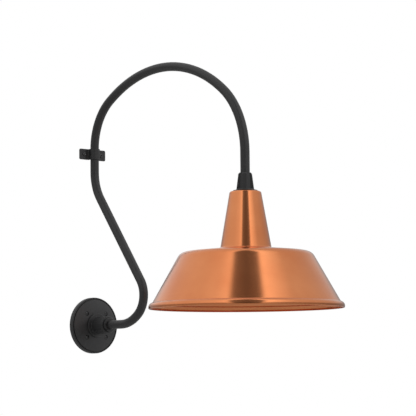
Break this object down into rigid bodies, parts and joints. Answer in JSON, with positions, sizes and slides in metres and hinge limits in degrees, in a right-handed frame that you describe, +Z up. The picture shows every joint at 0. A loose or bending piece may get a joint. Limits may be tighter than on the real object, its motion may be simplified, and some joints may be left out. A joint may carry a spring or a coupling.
{
  "type": "gooseneck wall sconce",
  "caption": "Gooseneck wall light: a bent pipe arm rises from a round wall plate, arches over and holds a bell-shaped spun shade that points down over a screw-base lamp.",
  "frame": {"origin": "centre of the wall plate's back, on the wall plane", "axes": "+X out of the wall towards the shade, +Z up, the arm lies in the plane Y = 0"},
  "size_m": [0.8535, 0.4578, 0.7203],
  "materials": {
    "black_coat": "satin black powder coat, finely textured",
    "black_screw": "black oxide, satin",
    "green_screw": "green earthing screw",
    "gasket_rubber": "matt black sponge rubber",
    "lead_black": "satin",
    "lead_white": "satin",
    "copper_sheet": "spun copper, satin brushed round its axis",
    "zinc_steel": "zinc plated",
    "porcelain": "glazed",
    "brass_parts": "bright",
    "lamp_metal": "bright",
    "black_glass": "gloss",
    "solder": "dull",
    "clear_glass": "clear",
    "tungsten": "dull"
  },
  "bodies": {
    "fixture": {"arm_tube": "black_coat", "wall_plate": "black_coat", "wall_gasket": "gasket_rubber", "plate_screws": "black_screw", "ground_screw": "green_screw", "lock_ring": "black_coat", "ring_set_screw": "black_screw", "pipe_strap": "black_coat", "strap_screws": "black_screw", "live_lead": "lead_black", "neutral_lead": "lead_white", "shade_collar": "black_coat", "collar_set_screw": "black_screw", "collar_gasket": "gasket_rubber", "copper_shade": "copper_sheet", "shade_nipple": "zinc_steel", "inner_washer": "zinc_steel", "spring_washer": "zinc_steel", "lock_nut": "zinc_steel", "lampholder_cap": "porcelain", "lampholder_body": "porcelain", "screw_shell": "brass_parts", "centre_contact": "brass_parts", "lampholder_screws": "zinc_steel", "terminal_screws": "brass_parts"},
    "lamp": {"lamp_cap": "lamp_metal", "lamp_insulator": "black_glass", "lamp_contact": "solder", "lamp_envelope": "clear_glass", "lamp_stem": "clear_glass", "lamp_filament": "tungsten"}
  },
  "joints": [
    {"name": "lamp_unscrew", "type": "slide", "parent": "fixture", "child": "lamp", "axis": [0, 0, -1], "range_m": [0, 0.025]}
  ]
}
